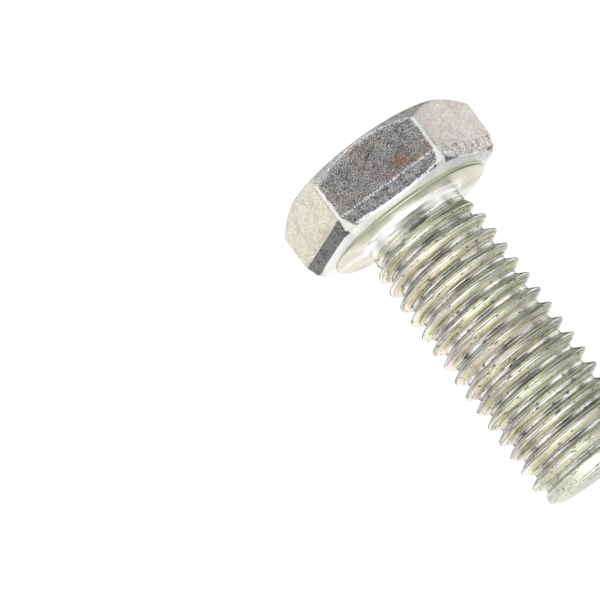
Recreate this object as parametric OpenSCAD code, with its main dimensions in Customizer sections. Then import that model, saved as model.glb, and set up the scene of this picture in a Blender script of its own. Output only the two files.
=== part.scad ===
// Hex bolt, fully threaded, chamfered point, right-hand metric coarse thread.
// It stands on the flat top of its head: z = 0 is the head's top face, +Z runs along the shank to the point.
// The origin is on the bolt's axis. A flat of the head faces -Y.

/* [Head] */
// width across two opposite flats
across_flats = 19; // [16:0.1:24]
// head height, from its flat top to the bearing face
head_h = 7.3; // [6:0.1:10]
// amount that rounding takes off each of the six corners
corner_cut = 0.2; // [0.05:0.05:0.5]
// inset of the flat top circle from the flats
top_inset = 0.35; // [0.1:0.05:1]
// angle of the chamfer round the top of the head
chamfer_angle = 38; // [15:1:40]
// height of the zone over which the corners taper in towards the bearing end
skirt_h = 1.2; // [0.5:0.1:3]
// inward taper of the corners over that zone
skirt_taper = 0.6; // [0.1:0.05:0.8]
// height of the bevel between the corners and the bearing ring
bevel_h = 0.55; // [0.2:0.05:1]

/* [Bearing face] */
// inset of the raised bearing ring from the flats
washer_inset = 0.9; // [0.5:0.05:1.5]
// thickness of the bearing ring
washer_t = 0.35; // [0.2:0.05:0.8]
// bevel on the rim of the bearing ring
washer_bevel = 0.15; // [0.05:0.05:0.2]

/* [Shank] */
// length from the bearing face to the end of the point
shank_l = 30; // [20:0.5:80]
// amount by which the plain neck under the head is thinner than the thread, on the radius
neck_relief = 0.7; // [0.4:0.05:0.9]
// length of the plain neck, its fillet included
neck_l = 1.3; // [0.8:0.05:3]
// radius of the fillet between the neck and the bearing face
neck_fillet = 0.5; // [0.2:0.05:0.8]

/* [Thread] */
// major diameter, over the crests
thread_d = 11.8; // [9:0.1:15]
// depth of the thread, from crest to root
thread_depth = 0.97; // [0.85:0.01:1.1]
// pitch
pitch = 1.75; // [1.5:0.05:2.1]
// width of the flat on each crest
crest_w = 0.22; // [0.1:0.01:0.3]
// turn of the thread's start round the axis
start_angle = 231; // [0:1:359]
// length of the neck's taper into the core, under the first crest
runout_l = 0.35; // [0.2:0.05:0.6]
// axial length of the chamfer over the last turns
point_chamfer = 1.1; // [0.8:0.1:2]

/* [Point] */
// length of the point beyond the threaded core
point_l = 1.9; // [1.5:0.1:3]
// inset of the blunt end from the thread's root
end_inset = 0.83; // [0.2:0.01:1.5]
// length of the taper at the very end
end_taper = 0.6; // [0.3:0.05:1]
// depth of the shallow dish that rolling leaves in the end
dish = 0.25; // [0.05:0.05:0.5]

/* [Hidden] */
$fn = 96;
step = 7.5;
bearing_z = head_h;
end_z = bearing_z + shank_l;
major_r = thread_d / 2;
core_r = major_r - thread_depth;
neck_r = major_r - neck_relief;
neck_root_r = neck_r + neck_fillet;
washer_r = across_flats / 2 - washer_inset;
neck_end = bearing_z + neck_l + runout_l;
core_end = end_z - point_l;
corner_r = across_flats / 2 / cos(30) - corner_cut;
top_r = across_flats / 2 - top_inset;
// the ridge's facets meet the round core along their middles
foot_r = (core_r - 0.001) / cos(step / 2);
foot_w = crest_w / 2 + (major_r - foot_r) * tan(30);
first_z = neck_end + foot_w;
last_z = end_z - end_taper - foot_w;
stations = floor((last_z - first_z) / pitch * 360 / step);

// node to show

zinc = [0.80, 0.79, 0.75];
zinc_thread = [0.76, 0.76, 0.73];

// crest radius at one height: it climbs over half a turn at the neck and follows the chamfer at the point
function crest_r(z) =
    let (up = foot_r + 0.08 + (major_r - foot_r) * (z - first_z) / (pitch / 2),
         down = foot_r + 0.08 + (major_r - foot_r) * (last_z - z) / point_chamfer)
    min(major_r, up, down);

// the four corners of the ridge's section at one station
function section(i) =
    let (a = start_angle + i * step,
         z = first_z + pitch * i * step / 360,
         r = crest_r(z),
         w = crest_w / 2 + (major_r - r) * tan(30))
    [for (p = [[foot_r, -foot_w], [r, -w], [r, w], [foot_r, foot_w]])
        [p[0] * cos(a), p[0] * sin(a), z + p[1]]];

// forged head: a hexagon with rounded corners, a chamfered top and a tapered, bevelled bearing end
module hex_head() {
    h = head_h - washer_t;
    drop = (corner_r - top_r) * tan(chamfer_angle);
    color(zinc)
    intersection() {
        cylinder(h = h, r = across_flats / 2 / cos(30), $fn = 6);
        rotate_extrude()
            polygon([[0, 0], [top_r, 0], [corner_r, drop], [corner_r, h - bevel_h - skirt_h],
                     [corner_r - skirt_taper, h - bevel_h], [washer_r, h], [0, h]]);
    }
}

// raised ring that bears on the work, round the root of the neck
module washer_face() {
    color(zinc)
    rotate_extrude()
        polygon([[neck_root_r, bearing_z - washer_t], [washer_r, bearing_z - washer_t],
                 [washer_r, bearing_z - washer_bevel],
                 [washer_r - washer_bevel, bearing_z], [neck_root_r, bearing_z]]);
}

// plain neck with its root and fillet, tapering into the core where the thread starts
module neck() {
    color(zinc)
    difference() {
        rotate_extrude()
            polygon([[0, bearing_z - washer_t], [neck_root_r, bearing_z - washer_t],
                     [neck_root_r, bearing_z + neck_fillet], [neck_r, bearing_z + neck_fillet],
                     [neck_r, neck_end - runout_l], [core_r, neck_end], [0, neck_end]]);
        rotate_extrude()
            translate([neck_root_r, bearing_z + neck_fillet]) circle(neck_fillet);
    }
}

// round core at the thread's root diameter
module thread_core() {
    color(zinc_thread)
    translate([0, 0, neck_end]) cylinder(h = core_end - neck_end, r = core_r);
}

// rolled thread: one right-hand ridge with 30 degree flanks, wound on the core and the point
module thread_ridge() {
    last = stations * 4;
    color(zinc_thread)
    polyhedron(
        points = [for (i = [0:stations]) each section(i)],
        faces = concat(
            [[3, 2, 1, 0]],
            [for (i = [0:stations - 1], j = [0:3])
                let (k = (j + 1) % 4, a = i * 4)
                each [[a + j, a + k, a + 4 + k], [a + j, a + 4 + k, a + 4 + j]]],
            [[last, last + 1, last + 2, last + 3]]));
}

// blunt chamfered point with a shallow dish in its end
module point() {
    color(zinc_thread)
    rotate_extrude()
        polygon([[0, core_end], [core_r, core_end], [core_r, end_z - end_taper],
                 [core_r - end_inset, end_z], [core_r - end_inset - 1, end_z], [0, end_z - dish]]);
}

hex_head();
washer_face();
neck();
thread_core();
thread_ridge();
point();
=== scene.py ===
"""Zinc-plated hex bolt, standing on its head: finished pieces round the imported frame."""
import math

import bpy
from mathutils import Matrix, Vector, noise


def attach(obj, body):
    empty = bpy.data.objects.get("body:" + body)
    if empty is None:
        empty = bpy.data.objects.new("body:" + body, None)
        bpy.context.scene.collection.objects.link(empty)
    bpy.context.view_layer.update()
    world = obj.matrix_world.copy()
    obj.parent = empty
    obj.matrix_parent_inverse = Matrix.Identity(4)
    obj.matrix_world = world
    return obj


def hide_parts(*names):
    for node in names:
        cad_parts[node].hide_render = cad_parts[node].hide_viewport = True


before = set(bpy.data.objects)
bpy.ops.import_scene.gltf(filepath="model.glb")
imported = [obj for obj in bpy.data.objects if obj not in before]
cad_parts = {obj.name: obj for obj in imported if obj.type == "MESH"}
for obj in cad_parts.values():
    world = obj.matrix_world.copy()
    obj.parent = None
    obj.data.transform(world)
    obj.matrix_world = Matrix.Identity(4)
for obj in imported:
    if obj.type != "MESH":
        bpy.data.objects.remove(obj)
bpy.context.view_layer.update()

MM = 0.001


# --- Studio -------------------------------------------------------------------------------------
# The bolt stands on its head on a pale table, inside a light tent. The camera looks at one flat of
# the head from the side of the point, rolled so that the shank runs down and to the right.

CAMERA_AT = Vector((3.65, -188.09, 45.54)) * MM
CAMERA_RIGHT = Vector((-0.80443, 0.15770, 0.57273))
CAMERA_DOWN = Vector((0.59198, 0.13256, 0.79498))
CAMERA_LENS = 120.3
SENSOR_W = 36

right = CAMERA_RIGHT.normalized()
up = -(CAMERA_DOWN - right * CAMERA_DOWN.dot(right)).normalized()
back = right.cross(up)

camera = bpy.data.objects.new("camera", bpy.data.cameras.new("camera"))
camera.data.lens = CAMERA_LENS
camera.data.sensor_width = SENSOR_W
camera.data.clip_start = 10 * MM
camera.matrix_world = Matrix.Translation(CAMERA_AT) @ Matrix((right, up, back)).transposed().to_4x4()
bpy.context.collection.objects.link(camera)
bpy.context.scene.camera = camera
bpy.context.scene.view_settings.view_transform = "Standard"


def linear(colour):
    """An sRGB hex colour as linear RGBA."""
    parts = [int(colour[i:i + 2], 16) / 255 for i in (1, 3, 5)]
    return tuple(c / 12.92 if c <= 0.04045 else ((c + 0.055) / 1.055) ** 2.4 for c in parts) + (1.0,)


def add(tree, kind, inputs=(), **settings):
    """Add one node: each input is a socket to link from or a value, and a ramp takes its stops."""
    made = tree.nodes.new(kind)
    stops = settings.pop("stops", ())
    for name, value in settings.items():
        setattr(made, name, value)
    for key, value in inputs.items() if isinstance(inputs, dict) else enumerate(inputs):
        if isinstance(value, bpy.types.NodeSocket):
            tree.links.new(value, made.inputs[key])
        else:
            made.inputs[key].default_value = value
    for _ in stops[2:]:
        made.color_ramp.elements.new(0.5)
    for k, (place, colour) in enumerate(stops):
        made.color_ramp.elements[k].position = place
        made.color_ramp.elements[k].color = linear(colour)
    return made.outputs


# The light tent: a row for each panel gives the way to its middle (right, up, towards the camera),
# the cosines where it begins and where it is full, and the light it adds. A dark panel takes light away.
# The ambient light lies between the panels, a glimmer is the least that comes from any direction, and
# the camera looks in through a gap that is darker than the rest.
AMBIENT = 0.72
GLIMMER = 0.04
PANELS = (
    ((-0.25, -0.40, -0.88), 0.50, 0.85, 0.46),
    ((0.02, 0.25, -0.97), 0.93, 0.98, -1.00),
    ((-0.20, -0.03, -0.98), 0.94, 0.985, -1.00),
    ((-0.49, 0.63, -0.60), 0.85, 0.95, 0.45),
    ((-0.58, 0.66, 0.48), 0.78, 0.95, 1.30),
    ((-0.86, -0.28, 0.42), 0.85, 0.95, 0.50),
    ((0.45, 0.72, 0.52), 0.86, 0.95, 0.60),
    ((0.66, 0.58, -0.52), 0.86, 0.96, 0.50),
    ((-0.95, -0.35, -0.10), 0.88, 0.97, -0.35),
    ((0.80, -0.46, -0.40), 0.70, 0.92, -0.52),
    ((-0.98, 0.15, 0.12), 0.88, 0.97, 0.80),
    ((0.33, 0.93, -0.12), 0.86, 0.93, -0.55))
CAMERA_GAP = ((-0.22, 0.35, 0.90), 0.85, 0.95, 0.78)

world = bpy.data.worlds.new("light tent")
bpy.context.scene.world = world
world.use_nodes = True
tree = world.node_tree
tree.nodes.clear()
way = add(tree, "ShaderNodeTexCoord")["Generated"]


def panel(aim, outer, inner, amount):
    """How much light one panel of the tent adds in each direction."""
    middle = (right * aim[0] + up * aim[1] + back * aim[2]).normalized()
    toward = add(tree, "ShaderNodeVectorMath", (way, tuple(middle)), operation="DOT_PRODUCT")["Value"]
    return add(tree, "ShaderNodeMapRange",
               {"Value": toward, "From Min": outer, "From Max": inner, "To Max": amount},
               interpolation_type="SMOOTHSTEP")["Result"]


level = AMBIENT
for row in PANELS:
    level = add(tree, "ShaderNodeMath", (panel(*row), level), operation="ADD")[0]
closed = add(tree, "ShaderNodeMath", (1.0, panel(*CAMERA_GAP)), operation="SUBTRACT")[0]
level = add(tree, "ShaderNodeMath", (level, closed), operation="MULTIPLY")[0]
level = add(tree, "ShaderNodeMath", (level, GLIMMER), operation="MAXIMUM")[0]
lit = add(tree, "ShaderNodeBackground", {"Color": linear("#ffffff"), "Strength": level})[0]
white = add(tree, "ShaderNodeBackground", {"Color": linear("#ffffff"), "Strength": 1.0})[0]
seen = add(tree, "ShaderNodeLightPath")["Is Camera Ray"]
tent = add(tree, "ShaderNodeMixShader", (seen, lit, white))[0]
add(tree, "ShaderNodeOutputWorld", {"Surface": tent})

BOLT_MIDDLE = Vector((0, 0, 18)) * MM
SOFTBOX_AWAY = 350 * MM


def softbox(name, aim, width, watts):
    """A square white light that faces the middle of the bolt, from a direction in the camera's frame."""
    place = BOLT_MIDDLE + (right * aim[0] + up * aim[1] + back * aim[2]).normalized() * SOFTBOX_AWAY
    facing = (BOLT_MIDDLE - place).to_track_quat("-Z", "Y").to_matrix().to_4x4()
    data = bpy.data.lights.new(name, "AREA")
    data.shape = "SQUARE"
    data.size = width
    data.energy = watts
    lamp = bpy.data.objects.new(name, data)
    lamp.matrix_world = Matrix.Translation(place) @ facing
    bpy.context.collection.objects.link(lamp)


softbox("softbox below", (0.38, -0.60, 0.70), 300 * MM, 0.9)
softbox("softbox above", (-0.60, 0.72, 0.36), 200 * MM, 0.2)

# The table: matt white card, so bright that only a trace of the bolt's shadow shows. The metal
# mirrors the tent instead of it.
TABLE_R = 3
TABLE_Z = -0.02 * MM
corners = [(-TABLE_R, -TABLE_R), (TABLE_R, -TABLE_R), (TABLE_R, TABLE_R), (-TABLE_R, TABLE_R)]
card = bpy.data.materials.new("matt white card")
card.use_nodes = True
surface = card.node_tree.nodes["Principled BSDF"].inputs
surface["Base Color"].default_value = linear("#616161")
surface["Roughness"].default_value = 1.0
surface["Emission Color"].default_value = linear("#ffffff")
surface["Emission Strength"].default_value = 0.95
table = bpy.data.objects.new("table", bpy.data.meshes.new("table"))
table.data.from_pydata([(x, y, TABLE_Z) for x, y in corners], [], [(0, 1, 2, 3)])
table.data.materials.append(card)
table.visible_glossy = False
table.visible_diffuse = False
bpy.context.collection.objects.link(table)


# --- Head ---------------------------------------------------------------------------------------
# Cold-headed steel hexagon, 19 mm across flats, trimmed by a die that left a sheared upper zone,
# a fine line and a duller, torn lower zone that draws in a little. Its top is chamfered. The bolt
# stands on its head, so that the head's top is at z = 0 and its lower zone is higher up on +Z.

FLAT_R = 9.5
CORNER_R = 0.4
TOP_R = FLAT_R - 0.35
TOP_EDGE = 0.05
CHAMFER = math.tan(math.radians(38))
HEAD_Z = 6.95
RING_R = FLAT_R - 0.9
FLAT_STEPS = 40
TOP_ROWS = 8
SHEARED_ROWS = 12
TORN_ROWS = 9

# The shear line, and the torn zone below it: its steps towards the axis, the growth of its corner
# radius, and its lower edge, which waves where the metal tore and reaches further up the corners.
BAND_Z = 5.05
LIP = 0.005
STEP_IN = 0.05
TORN_IN = 0.13
TORN_CORNER = 0.9
EDGE_IN = 0.2
EDGE_CORNER = CORNER_R + 1.5
EDGE_Z = 6.6
EDGE_CLIMB = 0.35
WAVE = 0.22
WAVE_Z = 6.35
WAVE_H = 0.55


def outline(flat_r, corner_r, t):
    """A point on a hexagon with rounded corners; t counts flats, from the one at -30 degrees."""
    straight = 0.35  # share of a flat on each side of its middle, before the corner's arc
    part = (t - int(t)) - 0.5
    half = (flat_r - corner_r) * math.tan(math.pi / 6)
    turn = math.radians(-30 + 60 * int(t))
    if abs(part) < straight:
        x, y = flat_r, half * part / straight
    else:
        bend = math.radians(30) * (abs(part) - straight) / (0.5 - straight)
        x = flat_r - corner_r + corner_r * math.cos(bend)
        y = math.copysign(half + corner_r * math.sin(bend), part)
    return x * math.cos(turn) - y * math.sin(turn), x * math.sin(turn) + y * math.cos(turn)


def closed_rows(name, rows, material):
    """A closed piece from loops of points round the axis; its first and last rows are poles."""
    count = len(rows[1])
    points = [rows[0][0]] + [p for row in rows[1:-1] for p in row] + [rows[-1][0]]
    faces = [(0, 1 + (i + 1) % count, 1 + i) for i in range(count)]
    for k in range(len(rows) - 3):
        a = 1 + k * count
        b = a + count
        faces += [(a + i, a + (i + 1) % count, b + (i + 1) % count, b + i) for i in range(count)]
    a = 1 + (len(rows) - 3) * count
    faces += [(a + i, a + (i + 1) % count, len(points) - 1) for i in range(count)]
    mesh = bpy.data.meshes.new(name)
    mesh.from_pydata([(x * MM, y * MM, z * MM) for x, y, z in points], [], faces)
    mesh.polygons.foreach_set("use_smooth", [True] * len(mesh.polygons))
    mesh.set_sharp_from_angle(angle=math.radians(55))
    mesh.materials.append(material)
    made = bpy.data.objects.new(name, mesh)
    bpy.context.collection.objects.link(made)
    return made


def hexagon(flat_r, corner_r, height, radius):
    """One loop on the hexagon's wall; each point's height and new radius depend on its radius there."""
    loop = []
    for k in range(6 * FLAT_STEPS):
        x, y = outline(flat_r, corner_r, k / FLAT_STEPS)
        r = math.hypot(x, y)
        loop.append((x * radius(r) / r, y * radius(r) / r, height(r)))
    return loop


def chamfer_z(r):
    """Height of the chamfer's cone at a radius."""
    return (r - TOP_R) * CHAMFER


def chamfer_r(r, k):
    """Radius at a share k of the way out along the chamfer, towards a wall at radius r."""
    return TOP_R + TOP_EDGE + (r - TOP_R - TOP_EDGE) * k


def edge_z(r):
    """Height of the torn zone's lower edge."""
    return EDGE_Z - (r - FLAT_R + EDGE_IN) * EDGE_CLIMB


# the flat top, its soft edge, and the chamfer
rows = [[(0, 0, 0)]]
for k in range(1, TOP_ROWS):
    rows.append(hexagon(FLAT_R, CORNER_R, lambda r: 0.0, lambda r: TOP_R * k / TOP_ROWS))
for rim_r, rim_z in ((TOP_R - 0.06, 0.0), (TOP_R, 0.02), (TOP_R + TOP_EDGE, 0.06)):
    rows.append(hexagon(FLAT_R, CORNER_R, lambda r: rim_z, lambda r: rim_r))
for k in (0.35, 0.7, 0.93):
    rows.append(hexagon(FLAT_R, CORNER_R, lambda r: chamfer_z(chamfer_r(r, k)), lambda r: chamfer_r(r, k)))
rows.append(hexagon(FLAT_R, CORNER_R, lambda r: chamfer_z(r) + 0.03, lambda r: r - 0.02))

# the sheared zone, whose corners get rounder on the way down, and the lip and step of the line
for k in range(SHEARED_ROWS + 1):
    down = k / SHEARED_ROWS
    rows.append(hexagon(FLAT_R, CORNER_R + 0.3 * down,
                        lambda r: chamfer_z(r) + 0.1 + (BAND_Z - 0.14 - chamfer_z(r)) * down, lambda r: r))
rows.append(hexagon(FLAT_R, CORNER_R + 0.4, lambda r: BAND_Z, lambda r: r + LIP))
rows.append(hexagon(FLAT_R, CORNER_R + 0.4, lambda r: BAND_Z + 0.05, lambda r: r - 0.03))

# the torn zone, its lower edge, the bevel down to the ring, and the underside, closed inside the ring
for k in range(1, TORN_ROWS + 1):
    down = k / TORN_ROWS
    rows.append(hexagon(FLAT_R - STEP_IN - TORN_IN * down, CORNER_R + 0.5 + TORN_CORNER * down,
                        lambda r: BAND_Z + 0.08 + (edge_z(r) - BAND_Z - 0.12) * down, lambda r: r))
rows.append(hexagon(FLAT_R - EDGE_IN, EDGE_CORNER, lambda r: edge_z(r) + 0.02, lambda r: r - 0.05))
for k in (0.12, 0.3, 0.5, 0.7, 0.88, 1.0):
    rows.append(hexagon(FLAT_R - EDGE_IN, EDGE_CORNER,
                        lambda r: edge_z(r) + 0.05 + (HEAD_Z - edge_z(r) - 0.05) * k ** 0.8,
                        lambda r: r - 0.08 + (RING_R - r + 0.08) * k))
for inner_r in (RING_R - 0.3, 4.0):
    rows.append(hexagon(FLAT_R, CORNER_R, lambda r: HEAD_Z + 0.01, lambda r: inner_r))
rows.append([(0, 0, HEAD_Z + 0.01)])

for loop in rows[1:-1]:
    for k, (x, y, z) in enumerate(loop):
        uneven = noise.noise(Vector((x * 0.9, y * 0.9, 0))) + 0.5 * noise.noise(Vector((x * 2.1, y * 2.1, 3)))
        loop[k] = (x, y, z + WAVE * uneven * max(0.0, 1 - abs(z - WAVE_Z) / WAVE_H))

# Electroplated zinc with a clear passivate on a die-trimmed face. The die leaves a fine mottle that
# scatters the light, and the torn zone is duller and streaked along the axis. Handling burnishes the
# corners, the line and the lower edge to a milky white, and their white is partly a painted highlight.
# The passivate tints one side straw yellow, and a brown stain has run down the front flat. The grey of
# the front and back flats and the darker torn zone on the straw side are painted shade.
trimmed_zinc = bpy.data.materials.new("electroplated zinc on a trimmed head")
trimmed_zinc.use_nodes = True
tree = trimmed_zinc.node_tree
shader = tree.nodes["Principled BSDF"]
where = add(tree, "ShaderNodeTexCoord")["Object"]
x, y, z = add(tree, "ShaderNodeSeparateXYZ", (where,))

# Patterns, in cells to a millimetre. The real mottle is finer than 0.05 mm and is drawn three times as
# coarse, so that it shows. It and the patches are turned askew, so that neither lines up with a flat.
askew = add(tree, "ShaderNodeMapping", {"Vector": where, "Rotation": (0.6, 0.4, 0.3)})[0]
grain = add(tree, "ShaderNodeTexNoise",
            {"Vector": askew, "Scale": 6.8 / MM, "Detail": 3, "Roughness": 0.7})["Fac"]
patch = add(tree, "ShaderNodeTexNoise",
            {"Vector": askew, "Scale": 1.3 / MM, "Detail": 3, "Roughness": 0.65})["Fac"]
blotch = add(tree, "ShaderNodeTexNoise",
             {"Vector": where, "Scale": 0.42 / MM, "Detail": 3, "Roughness": 0.6})["Fac"]
upright = add(tree, "ShaderNodeMapping", {"Vector": where, "Scale": (1, 1, 0.16)})[0]
streak = add(tree, "ShaderNodeTexNoise",
             {"Vector": upright, "Scale": 3.2 / MM, "Detail": 4, "Roughness": 0.6})["Fac"]
lying = add(tree, "ShaderNodeMapping", {"Vector": where, "Scale": (0.25, 0.25, 1.4)})[0]
smear = add(tree, "ShaderNodeTexNoise",
            {"Vector": lying, "Scale": 2.6 / MM, "Detail": 3, "Roughness": 0.6})["Fac"]
smear = add(tree, "ShaderNodeMapRange", {"Value": smear, "From Min": 0.44, "From Max": 0.58})["Result"]

# The sheared zone: grey in front, which is painted shade, pale on one side and straw on the other.
# Past half the width of the front flat the mottle is weaker.
FRONT_HALF = 5.5
film_and_shade_across = add(tree, "ShaderNodeMapRange", {"Value": x, "From Min": -10 * MM, "From Max": 10 * MM})["Result"]
base = add(tree, "ShaderNodeValToRGB", {"Fac": film_and_shade_across}, stops=(
    (0.10, "#e6e3da"), (0.28, "#c6c6c7"), (0.72, "#c4c4c6"), (0.80, "#fdfae6")))["Color"]
peach = add(tree, "ShaderNodeMapRange",
            {"Value": blotch, "From Min": 0.50, "From Max": 0.66, "To Max": 0.5})["Result"]
base = add(tree, "ShaderNodeMix", {"Factor": peach, "A": base, "B": linear("#e2c8b0")},
           data_type="RGBA")["Result"]
aside = add(tree, "ShaderNodeMath", (x,), operation="ABSOLUTE")[0]
clear = add(tree, "ShaderNodeMapRange",
            {"Value": aside, "From Min": (FRONT_HALF - 0.3) * MM, "From Max": (FRONT_HALF + 0.3) * MM,
             "To Min": 1.0, "To Max": 0.45})["Result"]
speck = add(tree, "ShaderNodeValToRGB", {"Fac": grain}, stops=(
    (0.38, "#727271"), (0.47, "#d6d6d5"), (0.56, "#ffffff")))["Color"]
base = add(tree, "ShaderNodeMix", {"Factor": clear, "A": base, "B": speck},
           data_type="RGBA", blend_type="MULTIPLY")["Result"]
worked = add(tree, "ShaderNodeValToRGB", {"Fac": patch}, stops=(
    (0.36, "#d2d1d0"), (0.50, "#f4f4f4"), (0.62, "#ffffff")))["Color"]
base = add(tree, "ShaderNodeMix", {"Factor": clear, "A": base, "B": worked},
           data_type="RGBA", blend_type="MULTIPLY")["Result"]
band = add(tree, "ShaderNodeMapRange",
           {"Value": z, "From Min": (BAND_Z - 1.1) * MM, "From Max": (BAND_Z - 0.1) * MM,
            "To Max": 0.55})["Result"]
band = add(tree, "ShaderNodeMath", (band, smear), operation="MULTIPLY")[0]
base = add(tree, "ShaderNodeMix", {"Factor": band, "A": base, "B": linear("#a9aaa4")},
           data_type="RGBA")["Result"]

# The torn zone: its own grey, with coarser dark marks, and painted shade that darkens it on the straw side.
torn = add(tree, "ShaderNodeValToRGB", {"Fac": film_and_shade_across}, stops=(
    (0.10, "#eae4df"), (0.28, "#dadadc"), (0.72, "#d0d0d2"), (0.80, "#8a8a88")))["Color"]
mark = add(tree, "ShaderNodeMix", {"Factor": 0.65, "A": patch, "B": grain})["Result"]
mark = add(tree, "ShaderNodeMix", {"Factor": 0.15, "A": mark, "B": streak})["Result"]
mark = add(tree, "ShaderNodeValToRGB", {"Fac": mark}, stops=(
    (0.41, "#67656b"), (0.49, "#cecccf"), (0.55, "#ffffff")))["Color"]
torn = add(tree, "ShaderNodeMix", {"Factor": 1.0, "A": torn, "B": mark},
           data_type="RGBA", blend_type="MULTIPLY")["Result"]
lower = add(tree, "ShaderNodeMapRange",
            {"Value": z, "From Min": BAND_Z * MM, "From Max": (BAND_Z + 0.08) * MM})["Result"]
base = add(tree, "ShaderNodeMix", {"Factor": lower, "A": base, "B": torn}, data_type="RGBA")["Result"]

# The brown stain, just above the line on the front flat: it reaches 3.3 mm across the flat and 0.77 mm
# up it, and stays within 0.5 mm of the surface.
STAIN_AT = (-2.4, -9.5, 4.2)
away = add(tree, "ShaderNodeVectorMath", (where, [-c * MM for c in STAIN_AT]), operation="ADD")[0]
away = add(tree, "ShaderNodeVectorMath", (away, (0.3 / MM, 2.0 / MM, 1.3 / MM)), operation="MULTIPLY")[0]
away = add(tree, "ShaderNodeVectorMath", (away,), operation="LENGTH")["Value"]
rust = add(tree, "ShaderNodeMapRange",
           {"Value": away, "From Min": 0.2, "From Max": 1.6, "To Min": 0.85, "To Max": 0.0})["Result"]
rust = add(tree, "ShaderNodeMath", (rust, smear), operation="MULTIPLY")[0]
base = add(tree, "ShaderNodeMix", {"Factor": rust, "A": base, "B": linear("#a4695a")},
           data_type="RGBA")["Result"]

# Worn corners, painted milky white, partly for wear and partly as painted highlights: the share of a
# flat from the nearest corner, wider towards the lower edge, and only on the wall, past the chamfer's cone.
angle = add(tree, "ShaderNodeMath", (y, x), operation="ARCTAN2")[0]
angle = add(tree, "ShaderNodeMath", (angle, 3 / math.pi), operation="MULTIPLY")[0]
corner = add(tree, "ShaderNodeMath", (angle, 3.5), operation="ADD")[0]
corner = add(tree, "ShaderNodeMath", (corner,), operation="FRACT")[0]
corner = add(tree, "ShaderNodeMath", (corner, 0.5), operation="SUBTRACT")[0]
corner = add(tree, "ShaderNodeMath", (corner,), operation="ABSOLUTE")[0]
flare = add(tree, "ShaderNodeMapRange",
            {"Value": z, "From Min": 5.2 * MM, "From Max": EDGE_Z * MM, "To Max": 0.05})["Result"]
ragged = add(tree, "ShaderNodeMath", (patch, 0.04), operation="MULTIPLY")[0]
flare = add(tree, "ShaderNodeMath", (flare, ragged), operation="ADD")[0]
corner = add(tree, "ShaderNodeMath", (corner, flare), operation="SUBTRACT")[0]
wear_and_highlight = add(tree, "ShaderNodeMapRange",
           {"Value": corner, "From Min": -0.012, "From Max": 0.004, "To Min": 0.9, "To Max": 0.0})["Result"]
out = add(tree, "ShaderNodeCombineXYZ", (x, y, 0.0))[0]
out = add(tree, "ShaderNodeVectorMath", (out,), operation="LENGTH")["Value"]
cone = add(tree, "ShaderNodeMapRange",
           {"Value": out, "From Min": TOP_R * MM, "From Max": (TOP_R + 2) * MM,
            "To Max": 2 * CHAMFER * MM})["Result"]
wall = add(tree, "ShaderNodeMath", (z, cone), operation="SUBTRACT")[0]
wall = add(tree, "ShaderNodeMapRange",
           {"Value": wall, "From Min": 0.02 * MM, "From Max": 0.14 * MM})["Result"]
wear_and_highlight = add(tree, "ShaderNodeMath", (wear_and_highlight, wall), operation="MULTIPLY")[0]
base = add(tree, "ShaderNodeMix", {"Factor": wear_and_highlight, "A": base, "B": linear("#f1f0ea")},
           data_type="RGBA")["Result"]

# The broken bright line between the zones, and the bright lower edge: both painted white, partly for
# burnish and partly as painted highlights.
line = add(tree, "ShaderNodeMath", (z, -BAND_Z * MM), operation="ADD")[0]
line = add(tree, "ShaderNodeMath", (line,), operation="ABSOLUTE")[0]
line = add(tree, "ShaderNodeMapRange",
           {"Value": line, "From Min": 0.01 * MM, "From Max": 0.04 * MM,
            "To Min": 1.0, "To Max": 0.0})["Result"]
broken = add(tree, "ShaderNodeMapRange",
             {"Value": grain, "From Min": 0.40, "From Max": 0.52, "To Max": 0.8})["Result"]
line = add(tree, "ShaderNodeMath", (line, broken), operation="MULTIPLY")[0]
base = add(tree, "ShaderNodeMix", {"Factor": line, "A": base, "B": linear("#ffffff")},
           data_type="RGBA")["Result"]
rim_burnish_and_highlight = add(tree, "ShaderNodeMapRange",
          {"Value": z, "From Min": 6.44 * MM, "From Max": 6.52 * MM, "To Max": 0.85})["Result"]
base = add(tree, "ShaderNodeMix", {"Factor": rim_burnish_and_highlight, "A": base, "B": linear("#fbfbf8")},
           data_type="RGBA")["Result"]
tree.links.new(base, shader.inputs["Base Color"])

milky = add(tree, "ShaderNodeMath", (rim_burnish_and_highlight, line), operation="MAXIMUM")[0]
milky = add(tree, "ShaderNodeMath", (milky, wear_and_highlight), operation="MAXIMUM")[0]
milky = add(tree, "ShaderNodeMapRange", {"Value": milky, "To Min": 1.0, "To Max": 0.42})["Result"]
tree.links.new(milky, shader.inputs["Metallic"])
rough = add(tree, "ShaderNodeMapRange",
            {"Value": grain, "From Min": 0.3, "From Max": 0.7, "To Min": 0.34, "To Max": 0.20})["Result"]
tree.links.new(rough, shader.inputs["Roughness"])
relief = add(tree, "ShaderNodeMath", (lower, 0.3), operation="MULTIPLY")[0]
relief = add(tree, "ShaderNodeMath", (relief, streak), operation="MULTIPLY")[0]
relief = add(tree, "ShaderNodeMath", (relief, grain), operation="ADD")[0]
bump = add(tree, "ShaderNodeBump", {"Strength": 1.0, "Distance": 0.05 * MM, "Height": relief})[0]
tree.links.new(bump, shader.inputs["Normal"])

head = closed_rows("head", rows, trimmed_zinc)
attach(head, "root")
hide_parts("hex_head")


# --- Bearing ring -------------------------------------------------------------------------------
# Raised ring under the head, pressed flat by the heading tool, with a worn rim.

BEARING_Z = HEAD_Z + 0.35
AROUND = 180


def circles(profile):
    """Loops for a turned shape, one for each radius and height."""
    turn = [2 * math.pi * k / AROUND for k in range(AROUND)]
    return [[(r * math.cos(a), r * math.sin(a), z) for a in turn] for r, z in profile]
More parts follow.
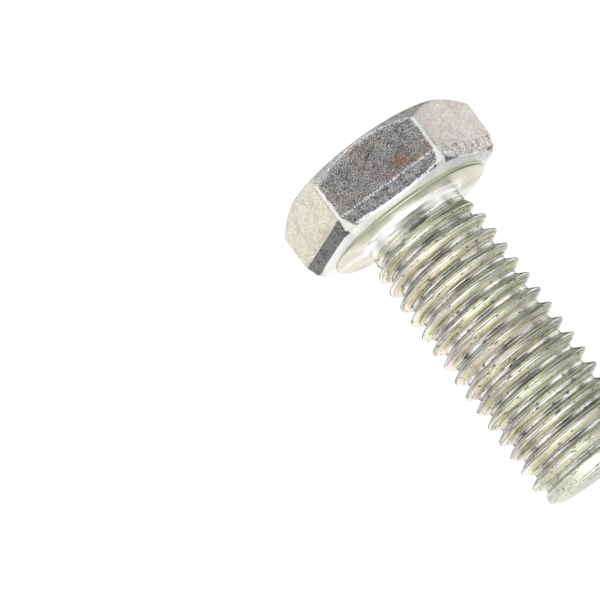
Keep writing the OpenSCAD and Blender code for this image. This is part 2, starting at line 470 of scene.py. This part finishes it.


# Electroplated zinc on a pressed face: smooth, with faint tool circles of 0.2 mm. The passivate is
# straw on top. The green on the rim and in front, where it turns milky, is a painted reflection.
pressed_zinc = bpy.data.materials.new("electroplated zinc on a pressed ring")
pressed_zinc.use_nodes = True
tree = pressed_zinc.node_tree
shader = tree.nodes["Principled BSDF"]
where = add(tree, "ShaderNodeTexCoord")["Object"]
x, y, z = add(tree, "ShaderNodeSeparateXYZ", (where,))
out = add(tree, "ShaderNodeCombineXYZ", (x, y, 0.0))[0]
out = add(tree, "ShaderNodeVectorMath", (out,), operation="LENGTH")["Value"]
out = add(tree, "ShaderNodeMath", (out, 5 / MM), operation="MULTIPLY")[0]
circle = add(tree, "ShaderNodeTexNoise", {"W": out, "Scale": 1.0, "Detail": 3}, noise_dimensions="1D")["Fac"]
cloud = add(tree, "ShaderNodeTexNoise", {"Vector": where, "Scale": 0.38 / MM, "Detail": 4})["Fac"]
base = add(tree, "ShaderNodeValToRGB", {"Fac": cloud}, stops=(
    (0.36, "#cdd0b8"), (0.50, "#e9e4d0"), (0.62, "#f8f4ea")))["Color"]
# Painted reflection in green: more towards the front, and on the rim's outer wall.
painted_reflection_green = add(tree, "ShaderNodeMapRange",
             {"Value": y, "From Min": -4 * MM, "From Max": -8 * MM, "To Max": 0.7})["Result"]
base = add(tree, "ShaderNodeMix", {"Factor": painted_reflection_green, "A": base, "B": linear("#b4baa6")},
           data_type="RGBA")["Result"]
wall = add(tree, "ShaderNodeMapRange",
           {"Value": z, "From Min": 7.0 * MM, "From Max": 7.28 * MM, "To Min": 0.75, "To Max": 0.0})["Result"]
base = add(tree, "ShaderNodeMix", {"Factor": wall, "A": base, "B": linear("#aab09a")},
           data_type="RGBA")["Result"]
# More painted reflection, greenest on the front edge, which is also less metallic.
front = add(tree, "ShaderNodeMapRange",
            {"Value": y, "From Min": -6.6 * MM, "From Max": -7.6 * MM, "To Max": 0.75})["Result"]
base = add(tree, "ShaderNodeMix", {"Factor": front, "A": base, "B": linear("#a6af94")},
           data_type="RGBA")["Result"]
tree.links.new(base, shader.inputs["Base Color"])
milky = add(tree, "ShaderNodeMapRange", {"Value": front, "To Min": 1.0, "To Max": 0.4})["Result"]
tree.links.new(milky, shader.inputs["Metallic"])
shader.inputs["Roughness"].default_value = 0.30
bump = add(tree, "ShaderNodeBump", {"Strength": 1.0, "Distance": 0.02 * MM, "Height": circle})[0]
tree.links.new(bump, shader.inputs["Normal"])

ring_profile = [
    (0, 6.9), (8.55, 6.9), (RING_R, HEAD_Z), (RING_R, 7.12), (8.57, 7.2), (8.5, 7.26), (8.4, 7.295),
    (8.25, BEARING_Z), (7.5, 7.295), (6.8, 7.29), (6.2, 7.295), (5.8, BEARING_Z), (5.6, 7.25),
    (3, 7.2), (0, 7.2)]
ring = closed_rows("bearing_ring", circles(ring_profile), pressed_zinc)
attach(ring, "root")
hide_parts("washer_face")


# --- Neck ---------------------------------------------------------------------------------------
# Short plain neck between the ring and the thread, extruded when the head is formed. Its fillet
# spares the bolt a sharp corner.

NECK_R = 5.2
FILLET = 0.55
THREAD_START = 8.5

# Electroplated zinc on an extruded, unrolled surface: the smoothest part, burnished, with soft lines
# round it, milky in the fillet and with a darker, streaked grey stripe in front.
burnished_zinc = bpy.data.materials.new("electroplated zinc on an extruded neck")
burnished_zinc.use_nodes = True
tree = burnished_zinc.node_tree
shader = tree.nodes["Principled BSDF"]
where = add(tree, "ShaderNodeTexCoord")["Object"]
x, y, z = add(tree, "ShaderNodeSeparateXYZ", (where,))
lying = add(tree, "ShaderNodeMapping", {"Vector": where, "Scale": (0.2, 0.2, 1.6)})[0]
lines = add(tree, "ShaderNodeTexNoise",
            {"Vector": lying, "Scale": 2.4 / MM, "Detail": 4, "Roughness": 0.6})["Fac"]
cloud = add(tree, "ShaderNodeTexNoise", {"Vector": where, "Scale": 0.5 / MM, "Detail": 4})["Fac"]
base = add(tree, "ShaderNodeValToRGB", {"Fac": cloud}, stops=(
    (0.34, "#f4f5f0"), (0.50, "#fdfdfb"), (0.66, "#fefcf6")))["Color"]
dark = add(tree, "ShaderNodeValToRGB", {"Fac": lines}, stops=((0.36, "#b8b8b4"), (0.46, "#ffffff")))["Color"]
base = add(tree, "ShaderNodeMix", {"Factor": 0.8, "A": base, "B": dark},
           data_type="RGBA", blend_type="MULTIPLY")["Result"]

# A darker, streaked grey stripe down the neck, a little to one side of the middle, above the fillet.
GREY_STRIPE_X = -0.6
aside = add(tree, "ShaderNodeMath", (x, -GREY_STRIPE_X * MM), operation="ADD")[0]
aside = add(tree, "ShaderNodeMath", (aside,), operation="ABSOLUTE")[0]
grey_stripe = add(tree, "ShaderNodeMapRange",
             {"Value": aside, "From Min": 1.4 * MM, "From Max": 3.0 * MM,
              "To Min": 1.0, "To Max": 0.0})["Result"]
below = add(tree, "ShaderNodeMapRange", {"Value": z, "From Min": 7.65 * MM, "From Max": 7.85 * MM})["Result"]
grey_stripe = add(tree, "ShaderNodeMath", (grey_stripe, below), operation="MULTIPLY")[0]
streaks = add(tree, "ShaderNodeMapRange",
              {"Value": lines, "From Min": 0.62, "From Max": 0.40, "To Min": 0.15, "To Max": 1.0})["Result"]
grey_stripe = add(tree, "ShaderNodeMath", (grey_stripe, streaks), operation="MULTIPLY")[0]
base = add(tree, "ShaderNodeMix", {"Factor": grey_stripe, "A": base, "B": linear("#9c9c9e")},
           data_type="RGBA")["Result"]
tree.links.new(base, shader.inputs["Base Color"])
milky = add(tree, "ShaderNodeMapRange",
            {"Value": z, "From Min": 7.5 * MM, "From Max": 8.0 * MM,
             "To Min": 0.35, "To Max": 0.65})["Result"]
tree.links.new(milky, shader.inputs["Metallic"])
shader.inputs["Roughness"].default_value = 0.18
bump = add(tree, "ShaderNodeBump", {"Strength": 1.0, "Distance": 0.02 * MM, "Height": lines})[0]
tree.links.new(bump, shader.inputs["Normal"])

neck_profile = [(0, 7.2), (5.5, 7.2), (NECK_R + FILLET + 0.06, BEARING_Z - 0.02)]
for a in range(90, -1, -10):
    bend = math.radians(a)
    neck_profile.append((NECK_R + FILLET * (1 - math.cos(bend)), BEARING_Z + FILLET * (1 - math.sin(bend))))
neck_profile += [(NECK_R, 8.1), (NECK_R, 8.3), (NECK_R, THREAD_START)]
neck_profile += [(r, THREAD_START + 0.01) for r in (4.9, 2.5, 0)]
neck = closed_rows("plain_neck", circles(neck_profile), burnished_zinc)
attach(neck, "root")
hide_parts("neck")


# --- Rolled thread ------------------------------------------------------------------------------
# Right-hand metric coarse thread, rolled between dies: it runs out on the neck, is full along the
# shank, and comes down over the last turn, where the blank was chamfered.

PITCH = 1.75
MAJOR_R = 5.9
ROOT_R = MAJOR_R - 0.97
BLUNT_R = 5.32
CREST_W = 0.22
THREAD_END = 36.95
TURN_STEPS = 160
PITCH_STEPS = 20

# Height of a crest's middle where the helix crosses +X, carried down to just below the start.
CREST_Z = 8.497

# Heights between which the crest climbs out of the neck and the root sinks below it, the crest comes
# down over the last turn, the end closes, and the plating gets pitted; and how softly the crest and
# the root are rounded.
CREST_UP = (THREAD_START + 0.1, 10.4)
ROOT_DOWN = (9.1, 10.2)
BLUNT_DOWN = (35.0, 36.6)
CLOSE_DOWN = (36.5, THREAD_END)
PITTED = (33.5, 36.5)
CREST_SOFT = 0.10
ROOT_SOFT = 0.12

# Electroplated zinc on a rolled surface. Crests and roots are burnished silver. The thin dark lines
# beside each crest, the dark band before each root and the darker part of the flank that faces the head
# are painted shade. The flanks hold a milky, greenish to straw film of passivate and are drawn out in
# fine lines along the helix, with nicks and crumbs of plating. The last turns are pitted and whitish.
rolled_zinc = bpy.data.materials.new("electroplated zinc on a rolled thread")
rolled_zinc.use_nodes = True
tree = rolled_zinc.node_tree
shader = tree.nodes["Principled BSDF"]
where = add(tree, "ShaderNodeTexCoord")["Object"]
x, y, z = add(tree, "ShaderNodeSeparateXYZ", (where,))

# The phase counts pitches from a crest, 0 to 1, and wanders a little; each ramp on it is one pitch.
around = add(tree, "ShaderNodeMath", (y, x), operation="ARCTAN2")[0]
around = add(tree, "ShaderNodeMath", (around, 0.5 / math.pi), operation="MULTIPLY")[0]
lead = add(tree, "ShaderNodeMapRange",
           {"Value": z, "From Min": CREST_Z * MM, "From Max": (CREST_Z + PITCH) * MM}, clamp=False)["Result"]
turn = add(tree, "ShaderNodeMath", (lead, around), operation="SUBTRACT")[0]
wander = add(tree, "ShaderNodeTexNoise", {"Vector": where, "Scale": 0.7 / MM, "Detail": 4})["Fac"]
wander = add(tree, "ShaderNodeMapRange", {"Value": wander, "To Min": -0.05, "To Max": 0.05})["Result"]
phase = add(tree, "ShaderNodeMath", (turn, wander), operation="ADD")[0]
phase = add(tree, "ShaderNodeMath", (phase,), operation="FRACT")[0]
# Colours through one pitch, with painted shade in the dark lines beside the crest, before the root and on the
# flank that faces the head.
pitch_colour_and_shade = add(tree, "ShaderNodeValToRGB", {"Fac": phase}, stops=(
    (0.00, "#dedede"), (0.04, "#c8c8c6"), (0.06, "#fdfdfb"), (0.13, "#fdfbf4"), (0.38, "#fdfbf4"),
    (0.44, "#ced0ca"), (0.53, "#fcfcfe"), (0.62, "#e2e2e4"), (0.68, "#d6d8d2"), (0.75, "#f3f7e9"),
    (0.86, "#f8fcee"), (0.90, "#b4b5b1"), (0.925, "#dcdcda"), (0.98, "#e2e2e2"), (1.00, "#dedede")))["Color"]
rolled = add(tree, "ShaderNodeMapRange",
             {"Value": z, "From Min": (THREAD_START + 0.2) * MM,
              "From Max": (THREAD_START + 1.1) * MM})["Result"]
pitch_colour_and_shade = add(tree, "ShaderNodeMix", {"Factor": rolled, "A": linear("#f4f3ec"), "B": pitch_colour_and_shade},
            data_type="RGBA")["Result"]

# The drawn lines: noise wrapped round one pitch of the phase, so that it has no seam, and changing only
# slowly along the helix. The real lines are too fine to show, so these are about 0.1 mm wide.
PHASE_R = 0.75
circle = add(tree, "ShaderNodeMath", (turn, 2 * math.pi), operation="MULTIPLY")[0]
over = add(tree, "ShaderNodeMath", (circle,), operation="COSINE")[0]
over = add(tree, "ShaderNodeMath", (over, PHASE_R), operation="MULTIPLY")[0]
beside = add(tree, "ShaderNodeMath", (circle,), operation="SINE")[0]
beside = add(tree, "ShaderNodeMath", (beside, PHASE_R), operation="MULTIPLY")[0]
long_x = add(tree, "ShaderNodeMath", (x, 0.035 / MM), operation="MULTIPLY")[0]
long_y = add(tree, "ShaderNodeMath", (y, 0.035 / MM), operation="MULTIPLY")[0]
climb = add(tree, "ShaderNodeMath", (z, 0.22 / MM), operation="MULTIPLY")[0]
wrapped = add(tree, "ShaderNodeCombineXYZ", (over, beside, long_x))[0]
across = add(tree, "ShaderNodeMath", (long_y, climb), operation="ADD")[0]
cloud = add(tree, "ShaderNodeTexNoise", {"Vector": wrapped, "W": across, "Scale": 0.8, "Detail": 2},
            noise_dimensions="4D")["Fac"]
drawn = add(tree, "ShaderNodeTexNoise",
            {"Vector": wrapped, "W": across, "Scale": 1.15, "Detail": 3, "Roughness": 0.7},
            noise_dimensions="4D")["Fac"]
line = add(tree, "ShaderNodeValToRGB", {"Fac": drawn}, stops=(
    (0.32, "#84847f"), (0.40, "#ffffff"), (0.48, "#ffffff"), (0.52, "#6a6a67"), (0.56, "#ffffff"),
    (0.62, "#ffffff"), (0.67, "#8a8a86")))["Color"]
base = add(tree, "ShaderNodeMix", {"Factor": 0.9, "A": pitch_colour_and_shade, "B": line},
           data_type="RGBA", blend_type="MULTIPLY")["Result"]

# The film on the flanks, greener on one side and straw on the other.
side = add(tree, "ShaderNodeMapRange",
           {"Value": x, "From Min": -6 * MM, "From Max": 6 * MM, "To Min": -0.14, "To Max": 0.10})["Result"]
side = add(tree, "ShaderNodeMath", (cloud, side), operation="ADD")[0]
tint = add(tree, "ShaderNodeValToRGB", {"Fac": side}, stops=(
    (0.36, "#e6edd0"), (0.46, "#f8faec"), (0.54, "#fdfade"), (0.66, "#fdf1e6")))["Color"]
tinted = add(tree, "ShaderNodeMix", {"Factor": 1.0, "A": base, "B": tint},
             data_type="RGBA", blend_type="MULTIPLY")["Result"]
film = add(tree, "ShaderNodeValToRGB", {"Fac": phase}, stops=(
    (0.04, "#404040"), (0.12, "#ffffff"), (0.36, "#ffffff"), (0.46, "#404040"), (0.66, "#404040"),
    (0.76, "#ffffff"), (0.88, "#ffffff"), (0.96, "#404040")))["Color"]
base = add(tree, "ShaderNodeMix", {"Factor": film, "A": base, "B": tinted}, data_type="RGBA")["Result"]

# Nicks, and crumbs of plating, which are drawn coarser than the real ones so that they show.
lying = add(tree, "ShaderNodeMapping", {"Vector": where, "Scale": (0.5, 0.5, 1.5)})[0]
nick = add(tree, "ShaderNodeTexNoise",
           {"Vector": lying, "Scale": 2.6 / MM, "Detail": 3, "Roughness": 0.6})["Fac"]
nick = add(tree, "ShaderNodeMapRange",
           {"Value": nick, "From Min": 0.63, "From Max": 0.66, "To Max": 0.9})["Result"]
base = add(tree, "ShaderNodeMix", {"Factor": nick, "A": base, "B": linear("#4a4a46")},
           data_type="RGBA")["Result"]
crumb = add(tree, "ShaderNodeTexNoise",
            {"Vector": where, "Scale": 5.2 / MM, "Detail": 2, "Roughness": 0.6})["Fac"]
crumb = add(tree, "ShaderNodeValToRGB", {"Fac": crumb}, stops=((0.36, "#a4a4a0"), (0.48, "#ffffff")))["Color"]
base = add(tree, "ShaderNodeMix", {"Factor": 0.4, "A": base, "B": crumb},
           data_type="RGBA", blend_type="MULTIPLY")["Result"]

# The pitted, whitish last turns.
end = add(tree, "ShaderNodeMapRange",
          {"Value": z, "From Min": PITTED[0] * MM, "From Max": PITTED[1] * MM})["Result"]
pits = add(tree, "ShaderNodeTexNoise",
           {"Vector": where, "Scale": 2.6 / MM, "Detail": 5, "Roughness": 0.7})["Fac"]
pitted = add(tree, "ShaderNodeValToRGB", {"Fac": pits}, stops=(
    (0.35, "#74746c"), (0.41, "#deded8"), (0.48, "#ffffff")))["Color"]
chalky = add(tree, "ShaderNodeMix", {"Factor": 0.55, "A": base, "B": linear("#e2e6da")},
             data_type="RGBA")["Result"]
chalky = add(tree, "ShaderNodeMix", {"Factor": 1.0, "A": chalky, "B": pitted},
             data_type="RGBA", blend_type="MULTIPLY")["Result"]
base = add(tree, "ShaderNodeMix", {"Factor": end, "A": base, "B": chalky}, data_type="RGBA")["Result"]
tree.links.new(base, shader.inputs["Base Color"])

milky = add(tree, "ShaderNodeMath", (film, end), operation="MAXIMUM")[0]
milky = add(tree, "ShaderNodeMapRange",
            {"Value": milky, "From Min": 0.05, "From Max": 1.0, "To Min": 1.0, "To Max": 0.60})["Result"]
tree.links.new(milky, shader.inputs["Metallic"])
shine = add(tree, "ShaderNodeValToRGB", {"Fac": phase}, stops=(
    (0.0, "#7c7c7c"), (0.1, "#989898"), (0.45, "#787878"), (0.9, "#909090"), (1.0, "#7c7c7c")))["Color"]
shine = add(tree, "ShaderNodeMix", {"Factor": end, "A": shine, "B": 0.38})["Result"]
tree.links.new(shine, shader.inputs["Roughness"])
relief = add(tree, "ShaderNodeMath", (drawn, nick), operation="SUBTRACT")[0]
relief = add(tree, "ShaderNodeMix", {"Factor": end, "A": relief, "B": pits})["Result"]
bump = add(tree, "ShaderNodeBump", {"Strength": 1.0, "Distance": 0.06 * MM, "Height": relief})[0]
tree.links.new(bump, shader.inputs["Normal"])

# The surface is a grid wound along the helix, so that its edges run along the crest and the root. Its
# first and last rows close on the axis.
shape = bpy.data.node_groups.new("rolled thread", "GeometryNodeTree")
shape.interface.new_socket("Geometry", in_out="OUTPUT", socket_type="NodeSocketGeometry")
sizes = {"Pitch": PITCH, "Major radius": MAJOR_R, "Root radius": ROOT_R, "Neck radius": NECK_R,
         "Crest width": CREST_W, "Crest height": CREST_Z, "Start": THREAD_START, "End": THREAD_END}
sockets = {}
for name in sizes:
    socket = shape.interface.new_socket(name, in_out="INPUT", socket_type="NodeSocketFloat")
    sockets[name] = socket.identifier
given = add(shape, "NodeGroupInput")
steps_up = int(((THREAD_END - THREAD_START) / PITCH + 1) * PITCH_STEPS) + 6
pitches = steps_up / PITCH_STEPS
grid = add(shape, "GeometryNodeMeshGrid",
           {"Size X": 1.0, "Size Y": 1.0, "Vertices X": TURN_STEPS + 1, "Vertices Y": steps_up + 1})["Mesh"]
place = add(shape, "GeometryNodeInputPosition")[0]
gx, gy, _ = add(shape, "ShaderNodeSeparateXYZ", (place,))

# share of a turn, pitches climbed, and height
part = add(shape, "ShaderNodeMath", (gx, 0.5), operation="ADD")[0]
along = add(shape, "ShaderNodeMath", (gy, 0.5), operation="ADD")[0]
along = add(shape, "ShaderNodeMath", (along, pitches), operation="MULTIPLY")[0]
count = add(shape, "ShaderNodeMath", (along, part), operation="ADD")[0]
count = add(shape, "ShaderNodeMath", (count, 1 + 2 / PITCH_STEPS), operation="SUBTRACT")[0]
climb = add(shape, "ShaderNodeMath", (count, given["Pitch"], given["Start"]), operation="MULTIPLY_ADD")[0]
z = add(shape, "ShaderNodeClamp", {"Value": climb, "Min": given["Start"], "Max": given["End"]})[0]

# radius of the flank, from the distance to the middle of the nearest crest
lead = add(shape, "ShaderNodeMath", (z, given["Crest height"]), operation="SUBTRACT")[0]
lead = add(shape, "ShaderNodeMath", (lead, given["Pitch"]), operation="DIVIDE")[0]
phase = add(shape, "ShaderNodeMath", (lead, part), operation="SUBTRACT")[0]
phase = add(shape, "ShaderNodeMath", (phase, 0.5), operation="ADD")[0]
phase = add(shape, "ShaderNodeMath", (phase,), operation="FRACT")[0]
phase = add(shape, "ShaderNodeMath", (phase, 0.5), operation="SUBTRACT")[0]
away = add(shape, "ShaderNodeMath", (phase,), operation="ABSOLUTE")[0]
away = add(shape, "ShaderNodeMath", (away, given["Pitch"]), operation="MULTIPLY")[0]
away = add(shape, "ShaderNodeMath", (given["Crest width"], -0.5, away), operation="MULTIPLY_ADD")[0]
flank = add(shape, "ShaderNodeMath", (away, -1 / math.tan(math.radians(30)), given["Major radius"]),
            operation="MULTIPLY_ADD")[0]

# the crest climbs out of the neck and comes down over the last turn; the root sinks below the neck
crest = add(shape, "ShaderNodeMapRange",
            {"Value": z, "From Min": CREST_UP[0], "From Max": CREST_UP[1],
             "To Min": given["Neck radius"], "To Max": given["Major radius"]},
            interpolation_type="SMOOTHSTEP")["Result"]
blunt = add(shape, "ShaderNodeMapRange",
            {"Value": z, "From Min": BLUNT_DOWN[0], "From Max": BLUNT_DOWN[1],
             "To Min": given["Major radius"], "To Max": BLUNT_R},
            interpolation_type="SMOOTHSTEP")["Result"]
close = add(shape, "ShaderNodeMapRange",
            {"Value": z, "From Min": CLOSE_DOWN[0], "From Max": CLOSE_DOWN[1],
             "To Min": given["Major radius"], "To Max": given["Root radius"]},
            interpolation_type="SMOOTHSTEP")["Result"]
blunt = add(shape, "ShaderNodeMath", (blunt, close), operation="MINIMUM")[0]
crest = add(shape, "ShaderNodeMath", (crest, blunt), operation="MINIMUM")[0]
root = add(shape, "ShaderNodeMapRange",
           {"Value": z, "From Min": ROOT_DOWN[0], "From Max": ROOT_DOWN[1],
            "To Min": given["Neck radius"], "To Max": given["Root radius"]},
           interpolation_type="SMOOTHSTEP")["Result"]
radius = add(shape, "ShaderNodeMath", (flank, crest, CREST_SOFT), operation="SMOOTH_MIN")[0]
radius = add(shape, "ShaderNodeMath", (radius, root, ROOT_SOFT), operation="SMOOTH_MAX")[0]
inside = add(shape, "ShaderNodeMath", (along, pitches / 2, pitches / 2 - 0.5 / PITCH_STEPS),
             operation="COMPARE")[0]
radius = add(shape, "ShaderNodeMath", (radius, inside), operation="MULTIPLY")[0]

# place of each point, with shallow dents, in metres
angle = add(shape, "ShaderNodeMath", (part, 2 * math.pi), operation="MULTIPLY")[0]
px = add(shape, "ShaderNodeMath", (angle,), operation="COSINE")[0]
px = add(shape, "ShaderNodeMath", (radius, px), operation="MULTIPLY")[0]
py = add(shape, "ShaderNodeMath", (angle,), operation="SINE")[0]
py = add(shape, "ShaderNodeMath", (radius, py), operation="MULTIPLY")[0]
spot = add(shape, "ShaderNodeCombineXYZ", (px, py, z))[0]
dent = add(shape, "ShaderNodeTexNoise", {"Vector": spot, "Scale": 0.7, "Detail": 3, "Roughness": 0.6})["Fac"]
dent = add(shape, "ShaderNodeMapRange", {"Value": dent, "To Min": 0.992 * MM, "To Max": 1.008 * MM})["Result"]
dent = add(shape, "ShaderNodeCombineXYZ", (dent, dent, MM))[0]
spot = add(shape, "ShaderNodeVectorMath", (spot, dent), operation="MULTIPLY")[0]
wound = add(shape, "GeometryNodeSetPosition", {"Geometry": grid, "Position": spot})[0]
wound = add(shape, "GeometryNodeMergeByDistance", {"Geometry": wound, "Distance": 0.002 * MM})[0]
wound = add(shape, "GeometryNodeSetShadeSmooth", {"Geometry": wound})[0]
wound = add(shape, "GeometryNodeRealizeInstances", (wound,))[0]
wound = add(shape, "GeometryNodeSetMaterial", {"Geometry": wound, "Material": rolled_zinc})[0]
add(shape, "NodeGroupOutput", (wound,))

winder = bpy.data.objects.new("thread winder", bpy.data.meshes.new("thread winder"))
bpy.context.collection.objects.link(winder)
winding = winder.modifiers.new("rolled thread", "NODES")
winding.node_group = shape
for name, size in sizes.items():
    winding[sockets[name]] = size
finished = winder.evaluated_get(bpy.context.evaluated_depsgraph_get())
thread_mesh = bpy.data.meshes.new_from_object(finished)
bpy.data.objects.remove(winder)
thread_mesh.set_sharp_from_angle(angle=math.radians(70))
thread = bpy.data.objects.new("rolled_thread", thread_mesh)
bpy.context.collection.objects.link(thread)
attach(thread, "root")
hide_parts("thread_core", "thread_ridge")


# --- Point --------------------------------------------------------------------------------------
# Blunt chamfered end; rolling leaves its rim rounded and its face slightly dished and rough.

END_Z = BEARING_Z + 30

# Electroplated zinc on a sheared, unworked end: the coarsest surface of the bolt, pitted and milky.
sheared_zinc = bpy.data.materials.new("electroplated zinc on a sheared end")
sheared_zinc.use_nodes = True
tree = sheared_zinc.node_tree
shader = tree.nodes["Principled BSDF"]
where = add(tree, "ShaderNodeTexCoord")["Object"]
grain = add(tree, "ShaderNodeTexNoise",
            {"Vector": where, "Scale": 2.6 / MM, "Detail": 5, "Roughness": 0.7})["Fac"]
cloud = add(tree, "ShaderNodeTexNoise", {"Vector": where, "Scale": 0.45 / MM, "Detail": 3})["Fac"]
base = add(tree, "ShaderNodeValToRGB", {"Fac": cloud}, stops=(
    (0.30, "#d6dccc"), (0.50, "#e6e6da"), (0.70, "#ece2d8")))["Color"]
pits = add(tree, "ShaderNodeValToRGB", {"Fac": grain}, stops=(
    (0.34, "#7c7c74"), (0.40, "#dcdcd6"), (0.47, "#ffffff")))["Color"]
base = add(tree, "ShaderNodeMix", {"Factor": 1.0, "A": base, "B": pits},
           data_type="RGBA", blend_type="MULTIPLY")["Result"]
tree.links.new(base, shader.inputs["Base Color"])
shader.inputs["Metallic"].default_value = 0.6
shader.inputs["Roughness"].default_value = 0.40
bump = add(tree, "ShaderNodeBump", {"Strength": 1.0, "Distance": 0.07 * MM, "Height": grain})[0]
tree.links.new(bump, shader.inputs["Normal"])

point_profile = [
    (0, THREAD_END - 0.01), (4.7, THREAD_END - 0.01), (ROOT_R, THREAD_END), (4.82, 37.03), (4.62, 37.13),
    (4.38, 37.22), (4.1, 37.28), (3.85, END_Z), (3.5, 37.28), (2.8, 37.2), (2, 37.12), (1.2, 37.08),
    (0.5, 37.06), (0, 37.06)]
point = closed_rows("blunt_point", circles(point_profile), sheared_zinc)
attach(point, "root")
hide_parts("point")
